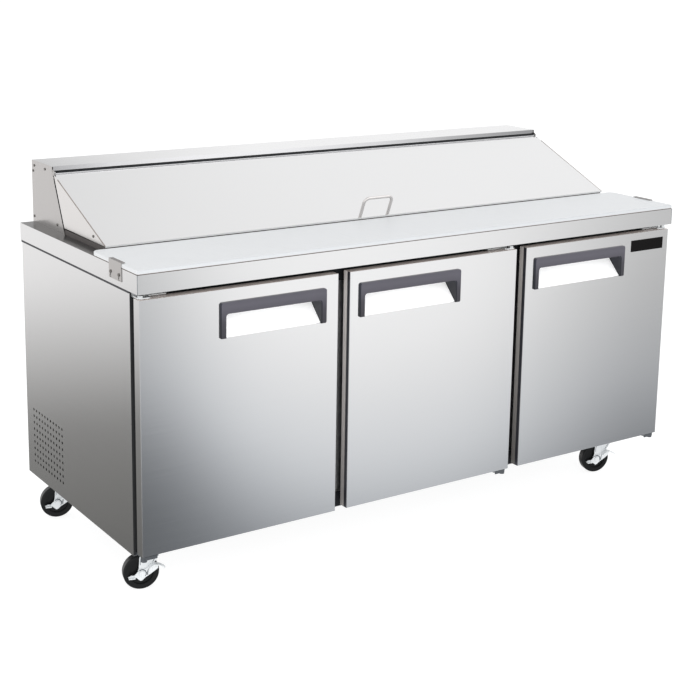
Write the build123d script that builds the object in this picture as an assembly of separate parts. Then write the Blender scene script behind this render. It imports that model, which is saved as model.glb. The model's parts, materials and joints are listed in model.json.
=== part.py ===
from build123d import *
import os
import math

# Three-door refrigerated sandwich prep table. Millimetres, +Z up, front faces -Y,
# origin on the floor under the middle of the cabinet.

# ---------------------------------------------------------------- driving dimensions
W = 1832.0            # worktop width
D = 762.0             # worktop depth
TOP = 886.0           # worktop height
APRON = 49.0          # worktop fascia height
SHEET = 1.2           # stainless sheet thickness
BODY_X = 912.7        # half width over the side panels
BODY_BOT = 140.0      # underside of the cabinet
FRONT = -329.0        # front plane of the cabinet box, behind the gaskets
BACK = 378.0          # rear plane of the cabinet box
FOAM = 30.0           # wall insulation
DOOR_F = -376.0       # front face of the doors
DOOR_B = -346.0       # rear of the door's folded edge
DOOR_Z0 = 152.0
DOOR_Z1 = 821.5
DOOR_SPANS = {"left": (-910.0, -328.0), "centre": (-291.0, 291.0), "right": (328.0, 910.0)}
DOOR_HINGE = {"left": -1, "centre": 1, "right": 1}      # side the hinge is on
HANDLES = {"left": (-687.0, -367.0), "centre": (-261.0, 84.0), "right": (359.0, 723.0)}
HANDLE_Z = (693.5, 788.0)
HANDLE_BAR = 757.0    # underside of the handle's top bar
HANDLE_LEG = 17.0
BEZEL = 6.5           # how far the grip's bezel stands off the door
RECESS_BACK = -328.0
GASKET_IN = 12.0      # gasket inset from the door's edge
GASKET_W = 18.0
PLUG_IN = 38.0        # inset of the door's inner plug
PLUG_B = -312.0       # rear of the door's inner plug
HINGE_IN = 11.0       # hinge axis inset from the door's edge
HINGE_Y = -361.0
PIN_R = 4.0
PIN_FIT = 0.05
FRAME_IN = 31.0       # how far the face frame reaches in behind each door
HOOD_X = 876.0        # half width over the hood's end plates
HOOD_TOP = 1064.0
HOOD_FRONT = 235.0    # front edge of the hood's roof
HOOD_BASE = 155.0     # front edge of the hood's end plates on the worktop
PIVOT = (230.0, 1046.0)     # lid pivot, y and z
LID_EDGE = (-108.0, 903.5)  # lower front edge of the lid
RAIL_H = 14.0
PAN_PITCH = 177.0
PAN_COUNT = 9
PAN_L = 325.0
PAN_W = 176.0
PAN_DEEP = 150.0
PAN_Y = 75.0          # middle of the pan row
BOARD_T = 12.0
BOARD_DEPTH = 269.0
CLIP_GAP = 1.2        # room between the clip's lip and the board
CASTER_X = 815.0
CASTER_Y = (-243.0, 323.0)
WHEEL_R = 48.0
WHEEL_T = 28.0
TRAIL = 35.0
HEADING = -15.0
BAY_Y = 100.0         # front of the machine bay
BAY_Z = 350.0         # top of the machine bay
STEP = 40.0           # insulation between the bay and the cold space

os.makedirs("parts", exist_ok=True)


def box(x0, x1, y0, y1, z0, z1):
    b = Box(x1 - x0, y1 - y0, z1 - z0)
    return Pos((x0 + x1) / 2, (y0 + y1) / 2, (z0 + z1) / 2) * b


def prism_x(pts, x0, x1):
    # polygon in (y, z) drawn out along X
    face = make_face(Polyline(*[(0, y, z) for y, z in pts], close=True))
    s = extrude(face, amount=x1 - x0, dir=(1, 0, 0))
    return Pos(x0, 0, 0) * s


def prism_y(pts, y0, y1):
    # polygon in (x, z) drawn out along Y
    face = make_face(Polyline(*[(x, 0, z) for x, z in pts], close=True))
    s = extrude(face, amount=y1 - y0, dir=(0, 1, 0))
    return Pos(0, y0, 0) * s


def cyl_z(x, y, z0, z1, r):
    return Pos(x, y, (z0 + z1) / 2) * Cylinder(r, z1 - z0)


def cyl_y(x, z, y0, y1, r):
    return Pos(x, (y0 + y1) / 2, z) * Rot(90, 0, 0) * Cylinder(r, y1 - y0)


def cyl_x(y, z, x0, x1, r):
    return Pos((x0 + x1) / 2, y, z) * Rot(0, 90, 0) * Cylinder(r, x1 - x0)


def save(name, *things):
    solids = []
    for t in things:
        if isinstance(t, (list, tuple)):
            for u in t:
                solids += list(u.solids())
        else:
            solids += list(t.solids())
    shape = solids[0] if len(solids) == 1 else Compound(children=solids)
    shape.label = name
    export_step(shape, "parts/" + name + ".step")


def fuse(items):
    items = list(items)
    out = items[0]
    return out.fuse(*items[1:]) if len(items) > 1 else out


# ---------------------------------------------------------------- cabinet outside
APRON_Z = TOP - APRON
side = box(-BODY_X, -BODY_X + 1.0, FRONT, BACK, BODY_BOT, TOP - 3.0)
side = side + box(-BODY_X + 1.0, -BODY_X + 13.0, FRONT, FRONT + 1.0, BODY_BOT + SHEET, APRON_Z - 2)
# air vents low at the rear of the left side, eleven columns of nine
vents = []
for i in range(11):
    for j in range(9):
        vents.append(cyl_x(122.0 + 20.5 * i, 186.0 + 19.7 * j, -BODY_X - 2, -BODY_X + 3, 4.2))
save("cabinet_side_left", side - vents)
save("cabinet_side_right", mirror(side, about=Plane.YZ))

bx = BODY_X - 1.0     # inside face of the side panels
save("cabinet_back", box(-bx, bx, BACK - 1.0, BACK, BAY_Z - 4.0, TOP - 3.0))

grille = box(-bx + 4, bx - 4, BACK - 1.0, BACK, BODY_BOT + 6.0, BAY_Z - 5.0)
grille = grille + box(-bx + 4, bx - 4, BACK - 13.0, BACK - 1.0, BAY_Z - 6.2, BAY_Z - 5.0)
slots = []
for i in range(14):
    for j in range(7):
        x = -840.0 + i * 62.0
        z = 178.0 + j * 22.0
        slots.append(box(x, x + 46.0, BACK - 3, BACK + 2, z, z + 6.0))
slots.append(cyl_y(-60.0, 163.0, BACK - 4, BACK + 4, 9.4))
save("machine_grille", grille - slots)

base = box(-bx, bx, FRONT, BACK - 1.0, BODY_BOT, BODY_BOT + SHEET)
base_holes = [box(-700 + 60 * i, -660 + 60 * i, 190, 196, BODY_BOT - 2, BODY_BOT + 4) for i in range(6)]
save("base_pan", base - base_holes)

# ---------------------------------------------------------------- insulation, plain slabs
z_floor = DOOR_Z0 + FRAME_IN + 1.0       # top of the floor insulation
zb = BODY_BOT + SHEET
fy = FRONT + 16.0                        # slabs start behind the face frame
ix = bx - FOAM                           # inside face of the side insulation
ceil_z = DOOR_Z1 - FRAME_IN + 4.5        # underside of the top insulation
well = (-806.0, 806.0, PAN_Y - 165.0, PAN_Y + 165.0)
step_y = BAY_Y - STEP
step_z = BAY_Z + STEP
foam = []
for s in (-1, 1):
    a, b = sorted((s * bx, s * ix))
    foam.append(box(a, b, fy, BAY_Y, zb, ceil_z))
    foam.append(box(a, b, BAY_Y, BACK - 1.0, BAY_Z, ceil_z))
foam.append(box(-ix, ix, fy, step_y, zb, z_floor))
foam.append(box(-ix, ix, step_y, BAY_Y, zb, step_z))
foam.append(box(-ix, ix, BAY_Y, BACK - 1.0, BAY_Z, step_z))
foam.append(box(-ix, ix, BACK - 1.0 - FOAM, BACK - 1.0, step_z, ceil_z))
top_in = TOP - SHEET - 2.0
foam.append(box(-bx, bx, fy, well[2], ceil_z, top_in))
foam.append(box(-bx, bx, well[3], BACK - 1.0, ceil_z, top_in))
foam.append(box(-bx, well[0], well[2], well[3], ceil_z, top_in))
foam.append(box(well[1], bx, well[2], well[3], ceil_z, top_in))
save("insulation", foam)

t = 1.0
liner = []
lx = ix
liner.append(box(-lx, lx, fy, step_y, z_floor, z_floor + t))
liner.append(box(-lx, -lx + t, fy, step_y, z_floor + t, ceil_z - t))
liner.append(box(lx - t, lx, fy, step_y, z_floor + t, ceil_z - t))
liner.append(box(-lx, -lx + t, step_y, BACK - 1.0 - FOAM, step_z + t, ceil_z - t))
liner.append(box(lx - t, lx, step_y, BACK - 1.0 - FOAM, step_z + t, ceil_z - t))
liner.append(box(-lx + t, lx - t, step_y - t, step_y, z_floor + t, step_z))
liner.append(box(-lx, lx, step_y - t, BACK - 1.0 - FOAM, step_z, step_z + t))
liner.append(box(-lx + t, lx - t, BACK - 1.0 - FOAM - t, BACK - 1.0 - FOAM, step_z + t, ceil_z - t))
liner.append(box(-lx, lx, fy, well[2], ceil_z - t, ceil_z))
liner.append(box(-lx, lx, well[3], BACK - 1.0 - FOAM, ceil_z - t, ceil_z))
liner.append(box(-lx, well[0], well[2], well[3], ceil_z - t, ceil_z))
liner.append(box(well[1], lx, well[2], well[3], ceil_z - t, ceil_z))
liner.append(box(well[0], well[0] + t, well[2], well[3], ceil_z, top_in))
liner.append(box(well[1] - t, well[1], well[2], well[3], ceil_z, top_in))
liner.append(box(well[0] + t, well[1] - t, well[2], well[2] + t, ceil_z, top_in))
liner.append(box(well[0] + t, well[1] - t, well[3] - t, well[3], ceil_z, top_in))
save("interior_liner", liner)

# ---------------------------------------------------------------- face frame and mullions
f0, f1 = FRONT, FRONT + 16.0
frame_in_x = 910.0 - FRAME_IN
fz0 = DOOR_Z0 + FRAME_IN
fz1 = DOOR_Z1 - FRAME_IN
sx = BODY_X - 13.0
stile = bx
frame_parts = []
frame_parts.append(box(-stile, stile, f0 + 1.0, f1, zb, fz0))
frame_parts.append(box(-stile, stile, f0 + 1.0, f1, fz1, APRON_Z + 20))
frame_parts.append(box(-stile, -frame_in_x, f0 + 1.0, f1, fz0, fz1))
frame_parts.append(box(frame_in_x, stile, f0 + 1.0, f1, fz0, fz1))
frame_parts.append(box(-sx, sx, f0, f0 + 1.0, zb, fz0))
frame_parts.append(box(-sx, sx, f0, f0 + 1.0, fz1, APRON_Z - 2))
frame_parts.append(box(-sx, -frame_in_x, f0, f0 + 1.0, fz0, fz1))
frame_parts.append(box(frame_in_x, sx, f0, f0 + 1.0, fz0, fz1))
save("face_frame", fuse(frame_parts))

mull = []
for a, b in ((DOOR_SPANS["left"][1], DOOR_SPANS["centre"][0]), (DOOR_SPANS["centre"][1], DOOR_SPANS["right"][0])):
    mull.append(box(a - FRAME_IN, b + FRAME_IN, f0, f0 + 34.0, z_floor + 1.0, fz1))
save("mullions", mull)

# ---------------------------------------------------------------- worktop
hw, hd = W / 2, D / 2
outer = box(-hw, hw, -hd, hd, APRON_Z, TOP)
inner = box(-hw + SHEET, hw - SHEET, -hd + SHEET, hd - SHEET, APRON_Z - 1, TOP - SHEET)
cut_x, cut_y0, cut_y1 = 802.0, PAN_Y - 158.0, PAN_Y + 158.0
cut = box(-cut_x, cut_x, cut_y0, cut_y1, APRON_Z - 5, TOP + 5)
ret = box(-hw + SHEET, hw - SHEET, -hd + SHEET, -hd + 14.0, APRON_Z, APRON_Z + SHEET)
top = (outer - inner + ret) - cut
save("worktop", top)

rail_x = HOOD_X - 2.4
rail_out = box(-rail_x, rail_x, LID_EDGE[0] + 4, 252.0, TOP, TOP + RAIL_H)
rail_cut = box(-800.0, 800.0, PAN_Y - 155.0, PAN_Y + 155.0, TOP - 1, TOP + RAIL_H + 1)
save("pan_rail", rail_out - rail_cut)

bars = []
for i in range(1, PAN_COUNT):
    x = (i - PAN_COUNT / 2) * PAN_PITCH
    bars.append(box(x - 6.0, x + 6.0, PAN_Y - 155.0, PAN_Y + 155.0, TOP + RAIL_H - 8.0, TOP + RAIL_H))
save("pan_bars", bars)

pan_rim = TOP + RAIL_H
pw, pl = 158.0, 300.0


def tub(grow, depth, z_top):
    # tapered tub, wider at the top
    lo = Pos(0, PAN_Y, z_top - depth) * Rectangle(pw - 14.0 + 2 * grow, pl - 14.0 + 2 * grow)
    hi = Pos(0, PAN_Y, z_top) * Rectangle(pw + 2 * grow, pl + 2 * grow)
    lo = fillet(lo.vertices(), 20.0 + grow)
    hi = fillet(hi.vertices(), 20.0 + grow)
    return loft([lo, hi])


pan = tub(0.0, PAN_DEEP, pan_rim + 0.8)
rim = Pos(0, PAN_Y, pan_rim + 0.4) * Box(PAN_W, PAN_L, 0.8)
rim = fillet(rim.edges().filter_by(Axis.Z), 14.0)
hollow = tub(-0.9, PAN_DEEP - 0.9, pan_rim + 0.8)
hollow = hollow + Pos(0, PAN_Y, pan_rim + 4.0) * Box(pw - 2.0, pl - 2.0, 6.4)
pan = (pan + rim) - hollow
pans = [Pos((i - (PAN_COUNT - 1) / 2) * PAN_PITCH, 0, 0) * pan for i in range(PAN_COUNT)]
save("food_pans", pans)

# ---------------------------------------------------------------- hood over the pans
end_pts = [(HOOD_BASE, TOP), (hd, TOP), (hd, HOOD_TOP), (HOOD_FRONT, HOOD_TOP), (HOOD_FRONT - 1, HOOD_TOP - 12.0)]
ends = []
for s in (-1, 1):
    a, b = sorted((s * HOOD_X, s * (HOOD_X - SHEET)))
    plate = prism_x(end_pts, a, b)
    a, b = sorted((s * (HOOD_X - SHEET), s * (HOOD_X - 22.0)))
    foot = box(a, b, 253.0, hd - SHEET, TOP, TOP + SHEET)
    a, b = sorted((s * (HOOD_X - SHEET), s * (HOOD_X - 3.4)))
    ear = prism_x([(PIVOT[0] - 7, PIVOT[1] - 6), (262.0, PIVOT[1] - 14), (262.0, PIVOT[1] + 10), (PIVOT[0] + 3, PIVOT[1] + 10), (PIVOT[0] - 7, PIVOT[1] + 4)], a, b)
    ear = ear - cyl_x(PIVOT[0], PIVOT[1], a - 1, b + 1, 2.5)
    ends.append(fuse([plate, foot, ear]))
save("hood_ends", ends)

hx = HOOD_X - SHEET
roof = box(-hx, hx, HOOD_FRONT, hd, HOOD_TOP - SHEET, HOOD_TOP)
roof = roof + box(-hx, hx, HOOD_FRONT, HOOD_FRONT + SHEET, HOOD_TOP - 12.0, HOOD_TOP)
back_sheet = box(-hx, hx, hd - SHEET, hd, TOP, HOOD_TOP)
# clear of the pivot ears
ear_gap = [box(s * (HOOD_X - 2.0) - 2.2, s * (HOOD_X - 2.0) + 2.2, HOOD_FRONT - 1, HOOD_FRONT + 3, HOOD_TOP - 13, HOOD_TOP - SHEET) for s in (-1, 1)]
save("hood_roof", (roof + back_sheet) - ear_gap)

save("lid_rod", cyl_x(PIVOT[0], PIVOT[1], -HOOD_X + SHEET, HOOD_X - SHEET, 2.5))

# dome-headed screws, one shared set
screws = []
for s in (-1, 1):
    for y, z in ((363.0, 1050.0), (372.0, 1034.0), (285.0, 1050.0), (372.0, 903.0), (205.0, 906.0)):
        a, b = sorted((s * HOOD_X, s * (HOOD_X + 1.8)))
        screws.append(cyl_x(y, z, a, b, 3.6))
    # cutting board clip screws: shank in the keyhole, head outside the clip
    for y in (-280.5, -232.5):
        a, b = sorted((s * hw, s * (hw + 2.1)))
        shank = cyl_x(y, 868.0, a, b, 2.3)
        a, b = sorted((s * (hw + 2.1), s * (hw + 3.9)))
        screws.append(shank + cyl_x(y, 868.0, a, b, 4.2))
for i in range(6):
    screws.append(cyl_y(-885.0 + i * 354.0, BAY_Z - 14.0, BACK, BACK + 1.8, 3.6))
save("fixing_screws", screws)

# ---------------------------------------------------------------- shelves
shelf_y0 = -288.0


def wire_shelf(width, y0, y1):
    d = y1 - y0
    ym = (y0 + y1) / 2
    parts = []
    for y in (y0, ym, y1):
        parts.append(cyl_x(y, 0, -width / 2, width / 2, 3.0))
    for x in (-width / 2, width / 2):
        parts.append(cyl_y(x, 0, y0, y1, 3.0))
    n = int(width // 28)
    for i in range(1, n):
        parts.append(cyl_y(-width / 2 + i * width / n, 3.2, y0, y1, 1.6))
    parts.append(box(-width / 2 - 3, -width / 2 + 3, y0 - 3, y0 + 3, -3, 3))
    parts.append(box(width / 2 - 3, width / 2 + 3, y0 - 3, y0 + 3, -3, 3))
    parts.append(box(-width / 2 - 3, -width / 2 + 3, y1 - 3, y1 + 3, -3, 3))
    parts.append(box(width / 2 - 3, width / 2 + 3, y1 - 3, y1 + 3, -3, 3))
    return fuse(parts)


SHELF_LO, SHELF_HI = 300.0, 480.0
bays = [(-lx + t, -309.5), (-309.5, 309.5), (309.5, lx - t)]
low_shelf = wire_shelf(540.0, shelf_y0, 40.0)
high_shelf = wire_shelf(540.0, shelf_y0, 205.0)
shelves = []
for a, b in bays:
    m = (a + b) / 2
    shelves.append(Pos(m, 0, SHELF_LO) * low_shelf)
    shelves.append(Pos(m, 0, SHELF_HI) * high_shelf)
save("wire_shelves", shelves)

# slotted uprights with shelf clips, on the side walls, the mullions and the rear wall
ups = []


def upright(x0, x1, y0, y1, holes_along_x):
    u = box(x0, x1, y0, y1, z_floor + 2 * t, 700.0)
    hs = []
    for k in range(10):
        z = 230.0 + 48.0 * k
        if holes_along_x:
            hs.append(box(x0 - 1, x1 + 1, (y0 + y1) / 2 - 2, (y0 + y1) / 2 + 2, z, z + 14))
        else:
            hs.append(box((x0 + x1) / 2 - 2, (x0 + x1) / 2 + 2, y0 - 1, y1 + 1, z, z + 14))
    return u - hs


for s in (-1, 1):
    a, b = sorted((s * (lx - t), s * (lx - t - 3.0)))
    ups.append(upright(a, b, -288.0, -270.0, True))
    ups.append(upright(a, b, 10.0, 28.0, True))
    for z in (SHELF_LO, SHELF_HI):
        for y in (-279.0, 19.0):
            a2, b2 = sorted((s * (lx - t - 3.0), s * (lx - t - 22.0)))
            ups.append(box(a2, b2, y - 6, y + 6, z - 6.0, z - 3.0))
for m in (-309.5, 309.5):
    ups.append(upright(m - 9, m + 9, f0 + 34.0, f0 + 37.0, False))
    for z in (SHELF_LO, SHELF_HI):
        ups.append(box(m - 45, m + 45, f0 + 37.0, f0 + 56.0, z - 6.0, z - 3.0))
    ups.append(upright(m - 9, m + 9, step_y - t - 3.0, step_y - t, False) & box(m - 20, m + 20, 0, 200, 0, step_z - 2))
    ups.append(box(m - 45, m + 45, step_y - t - 22.0, step_y - t - 3.0, SHELF_LO - 6.0, SHELF_LO - 3.0))
    ups.append(box(m - 8, m + 8, 170.0, 186.0, step_z + t, SHELF_HI - 6.0))
    ups.append(box(m - 45, m + 45, 168.0, 188.0, SHELF_HI - 6.0, SHELF_HI - 3.0))
save("shelf_uprights", ups)

# ---------------------------------------------------------------- cold side
ev_y0, ev_y1 = 238.0, BACK - 1.0 - FOAM - t
fins = [box(-300.0 + i * 12.0, -298.5 + i * 12.0, 290.0, 336.0, 470.0, 690.0) for i in range(51)]
fins += [box(-307.0, -305.0, 288.0, 338.0, 453.2, 710.8), box(305.0, 307.0, 288.0, 338.0, 453.2, 710.8)]
tubes = [cyl_x(300.0 + 26.0 * (k % 2), 484.0 + 32.0 * k, -312.0, 312.0, 4.0) for k in range(7)]
save("evaporator_coil", fuse(fins + tubes))
shell_o = box(-330.0, 330.0, ev_y0, ev_y1, 452.0, 712.0)
shell_i = box(-328.8, 328.8, ev_y0 + 1.2, ev_y1 + 1, 453.2, 710.8)
fan_hole = cyl_y(0.0, 582.0, ev_y0 - 2, ev_y0 + 4, 92.0)
outlets = [box(-300 + 40 * i, -275 + 40 * i, ev_y0 - 2, ev_y0 + 4, 690.0, 704.0) for i in range(15)]
inlets = [box(-300 + 40 * i, -275 + 40 * i, ev_y0 - 2, ev_y0 + 4, 458.0, 470.0) for i in range(15)]
housing = shell_o - shell_i - [fan_hole] - outlets - inlets
# fan motor on a cross strap inside the housing
strap = box(-12.0, 12.0, 276.0, 278.0, 453.2, 710.8)
motor = cyl_y(0.0, 582.0, 262.0, 276.0, 26.0) + cyl_y(0.0, 582.0, 243.0, 262.0, 3.0)
save("evaporator_housing", housing + strap + motor)


def fan(r, depth, bore, hub):
    body = Cylinder(hub, depth) - Cylinder(bore, depth + 2)
    blades = []
    for k in range(5):
        b = Pos((hub + r) / 2 - 1.5, 0, 0) * Rot(28, 0, 0) * Box(r - hub + 3, 46.0, 1.6)
        b = b & (Cylinder(r, 60) - Cylinder(hub - 2.5, 62))
        b = b & Box(400, 400, depth)
        blades.append(Rot(0, 0, 72 * k) * b)
    return fuse([body] + blades)


ev_fan = fan(80.0, 13.0, 3.05, 15.0)
save("evaporator_fan", Pos(0, 252.0, 582.0) * Rot(90, 0, 0) * ev_fan)

# ---------------------------------------------------------------- machine bay
cfins = [box(-886.0, -850.0, 112.0 + 5.0 * i, 112.8 + 5.0 * i, 164.0, 340.0) for i in range(47)]
ctubes = [cyl_y(-876.0 + 18.0 * (k % 2), 178.0 + 24.0 * k, 106.0, 352.0, 4.0) for k in range(7)]
c_feet = [box(-886.0, -850.0, 104.0, 106.8, zb, 344.0), box(-886.0, -850.0, 351.2, 354.0, zb, 344.0)]
save("condenser_coil", fuse(cfins + ctubes + c_feet))
shroud = box(-849.5, -800.0, 104.0, 354.0, zb + 6, 344.0) - box(-849.6, -801.2, 105.2, 352.8, zb + 7.2, 342.8)
shroud = shroud - cyl_x(229.0, 252.0, -810.0, -790.0, 86.0)
cmotor = cyl_x(229.0, 252.0, -796.9, -740.0, 34.0) + cyl_x(229.0, 252.0, -832.0, -796.9, 3.0)
save("condenser_shroud", fuse([shroud, box(-800.0, -796.9, 123.0, 335.0, 247.0, 257.0), cmotor]))
c_fan = fan(76.0, 22.0, 3.05, 14.0)
save("condenser_fan", Pos(-818.0, 229.0, 252.0) * Rot(0, 90, 0) * c_fan)

can = cyl_z(-600.0, 235.0, 172.0, 300.0, 78.0)
can = fillet(can.edges().filter_by(GeomType.CIRCLE), 24.0)
feet = [box(-700.0, -500.0, 170.0, 300.0, 168.0, 172.0)]
legs = [cyl_z(x, y, zb, 168.0, 9.0) for x in (-690, -510) for y in (180, 290)]
recv = cyl_z(-440.0, 300.0, zb, 290.0, 32.0)
recv = fillet(recv.edges().filter_by(GeomType.CIRCLE).sort_by(Axis.Z)[-1:], 12.0)


def pipe(pts, r):
    segs = []
    for a, b in zip(pts[:-1], pts[1:]):
        va, vb = Vector(*a), Vector(*b)
        d = vb - va
        pl = Plane(origin=a, z_dir=(d.X, d.Y, d.Z))
        segs.append(extrude(pl * Circle(r), amount=d.length))
    for p in pts[1:-1]:
        segs.append(Pos(*p) * Sphere(r))
    return segs


lines = []
lines += pipe([(-600.0, 235.0, 290.0), (-600.0, 235.0, 325.0), (-600.0, 362.0, 325.0), (-868.0, 362.0, 325.0), (-868.0, 354.0, 325.0)], 4.0)
lines += pipe([(-440.0, 300.0, 280.0), (-440.0, 300.0, BAY_Z)], 4.0)
lines += pipe([(-530.0, 235.0, 262.0), (-300.0, 235.0, 262.0), (-300.0, 235.0, BAY_Z)], 6.0)
save("compressor", fuse([can] + feet + legs + [recv] + lines))

ctrl = box(-180.0, 60.0, 300.0, 370.0, zb, 290.0)
ctrl = fillet(ctrl.edges().filter_by(Axis.Z), 6.0)
gland = cyl_y(-60.0, 163.0, 370.0, 380.6, 9.0) - cyl_y(-60.0, 163.0, 372.0, 388.0, 4.5)
save("controller_box", ctrl, gland)

# ---------------------------------------------------------------- hinge brackets, pins staked in
brackets = []
for name, (x0, x1) in DOOR_SPANS.items():
    s = DOOR_HINGE[name]
    xh = (x1 - HINGE_IN) if s > 0 else (x0 + HINGE_IN)
    a, b = sorted((xh + s * 9.0, xh - s * 26.0))
    up = box(a, b, -371.0, FRONT, DOOR_Z1 + 1.5, DOOR_Z1 + 4.5)
    up = chamfer(up.edges().filter_by(Axis.Z).group_by(Axis.Y)[0], 6.0)
    a, b = sorted((xh + s * 9.0, xh - s * 76.0))
    up = up + box(a, b, -349.0, FRONT, DOOR_Z1 + 1.5, DOOR_Z1 + 4.5)
    up = up + box(a, b, FRONT - 3.0, FRONT, DOOR_Z1 + 1.5, DOOR_Z1 + 14.0)
    for k in (44.0, 64.0):
        up = up + Pos(xh - s * k, -340.5, DOOR_Z1 + 6.5) * extrude(RegularPolygon(6.0, 6), amount=4.0, both=False, dir=(0, 0, 1)) - cyl_z(xh - s * k, -340.5, DOOR_Z1 + 9.0, DOOR_Z1 + 12.0, 3.0)
    up = up + cyl_z(xh, HINGE_Y, DOOR_Z1 - 16.0, DOOR_Z1 + 7.0, PIN_R)
    up = up + cyl_z(xh, HINGE_Y, DOOR_Z1 + 4.5, DOOR_Z1 + 9.0, 7.0)
    a, b = sorted((xh + s * 7.0, xh - s * 38.0))
    dn = box(a, b, -371.5, FRONT, DOOR_Z0 - 7.0, DOOR_Z0 - 3.0)
    dn = chamfer(dn.edges().filter_by(Axis.Z).group_by(Axis.Y)[0], 5.0)
    dn = dn + box(a + 5.0, b - 5.0, -371.5, -368.5, DOOR_Z0 - 12.0, DOOR_Z0 - 7.0)
    dn = dn + box(a, b, FRONT - 3.0, FRONT, BODY_BOT + 1.5, DOOR_Z0 - 3.0)
    dn = dn + cyl_z(xh, HINGE_Y, DOOR_Z0 - 10.0, DOOR_Z0 + 16.0, PIN_R)
    dn = dn + cyl_z(xh, HINGE_Y, DOOR_Z0 - 18.0, DOOR_Z0 - 6.0, 8.0)
    dn = dn + cyl_z(xh, HINGE_Y, DOOR_Z0 - 3.0, DOOR_Z0 - 0.4, 8.0)
    brackets += [up, dn]
save("hinge_plates", brackets)

# ---------------------------------------------------------------- doors
HZ0, HZ1 = HANDLE_Z
SLOPE = [(DOOR_F, HZ0 + 1.06), (RECESS_BACK, HZ0 + 49.0), (RECESS_BACK, 774.0), (DOOR_F, 774.0)]
TRAY = [(DOOR_F, HZ0 - 0.4), (RECESS_BACK + 1.0, HZ0 + 48.6), (RECESS_BACK + 1.0, 775.0), (DOOR_F, 775.0)]
for name, (x0, x1) in DOOR_SPANS.items():
    s = DOOR_HINGE[name]
    xh = (x1 - HINGE_IN) if s > 0 else (x0 + HINGE_IN)
    h0, h1 = HANDLES[name]
    c0, c1 = h0 + HANDLE_LEG - 1.6, h1 - HANDLE_LEG + 1.6
    # outer skin: front sheet, folded edges, sloping finger recess
    skin = box(x0, x1, DOOR_F, DOOR_B, DOOR_Z0, DOOR_Z1)
    skin = fillet(skin.edges().filter_by(Axis.Z).group_by(Axis.Y)[0], 1.4)
    skin = skin - box(x0 + 1, x1 - 1, DOOR_F + 1, DOOR_B + 1, DOOR_Z0 + 1, DOOR_Z1 - 1)
    skin = skin + prism_x(TRAY, c0 - 1.0, c1 + 1.0)
    mouth = prism_x([(DOOR_F - 1, HZ0 + 0.02)] + SLOPE[1:3] + [(DOOR_F - 1, 774.0)], c0, c1)
    skin = skin - mouth
    skin = skin - cyl_z(xh, HINGE_Y, DOOR_Z0 - 2, DOOR_Z0 + 3, PIN_R + 0.6)
    skin = skin - cyl_z(xh, HINGE_Y, DOOR_Z1 - 3, DOOR_Z1 + 2, PIN_R + 0.6)
    save("door_" + name + "_skin", skin)
    # foamed body with the inner pan as its rear plug
    core = box(x0 + 1, x1 - 1, DOOR_F + 1, DOOR_B, DOOR_Z0 + 1, DOOR_Z1 - 1)
    plug = box(x0 + PLUG_IN, x1 - PLUG_IN, DOOR_B - 2, PLUG_B, DOOR_Z0 + PLUG_IN, DOOR_Z1 - PLUG_IN)
    plug = fillet(plug.edges().filter_by(Axis.Y), 10.0)
    plug = chamfer(plug.faces().sort_by(Axis.Y)[-1].edges(), 4.0)
    dish = box(x0 + PLUG_IN + 26, x1 - PLUG_IN - 26, PLUG_B - 5, PLUG_B + 2, DOOR_Z0 + PLUG_IN + 26, 680.0)
    core = (core + plug) - prism_x(TRAY, c0 - 1.0, c1 + 1.0) - dish
    core = core - cyl_z(xh, HINGE_Y, DOOR_Z0, DOOR_Z0 + 17.0, PIN_R + PIN_FIT)
    core = core - cyl_z(xh, HINGE_Y, DOOR_Z1 - 17.0, DOOR_Z1, PIN_R + PIN_FIT)
    save("door_" + name + "_core", core)
    # magnetic gasket: base, bellows neck, magnet head
    def ring(i0, i1, ya, yb):
        o = box(x0 + i0, x1 - i0, ya, yb, DOOR_Z0 + i0, DOOR_Z1 - i0)
        return o - box(x0 + i1, x1 - i1, ya - 1, yb + 1, DOOR_Z0 + i1, DOOR_Z1 - i1)
    g = GASKET_IN
    gasket = ring(g, g + GASKET_W, DOOR_B, DOOR_B + 5.0) + ring(g + 4, g + GASKET_W - 4, DOOR_B + 5.0, FRONT - 6.0) + ring(g + 0.5, g + GASKET_W - 1.5, FRONT - 6.0, FRONT - 0.3)
    save("door_" + name + "_gasket", gasket)
    # grip: arch-shaped bezel with a bar over the recess and a cheek at each end
    face = box(h0, h1, DOOR_F - BEZEL, DOOR_F, HZ0, HZ1)
    face = fillet(face.edges().filter_by(Axis.Y).group_by(Axis.Z)[-1], 7.0)
    face = fillet(face.edges().filter_by(Axis.Y).group_by(Axis.Z)[0], 4.0)
    gap = box(h0 + HANDLE_LEG, h1 - HANDLE_LEG, DOOR_F - BEZEL - 2, DOOR_F + 2, HZ0 - 20, HANDLE_BAR)
    gap = fillet(gap.edges().filter_by(Axis.Y).group_by(Axis.Z)[-1], 8.0)
    face = face - gap
    face = chamfer(face.faces().sort_by(Axis.Y)[0].edges(), 2.2)
    bar = box(c0, c1, DOOR_F, DOOR_F + 8.0, HANDLE_BAR, 774.0)
    cheeks = [prism_x(SLOPE, c0, c0 + 1.6), prism_x(SLOPE, c1 - 1.6, c1)]
    save("door_" + name + "_handle", fuse([face, bar] + cheeks))

save("badge_plate", box(752.0, 887.0, DOOR_F - 1.2, DOOR_F, 763.5, 799.0))

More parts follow.
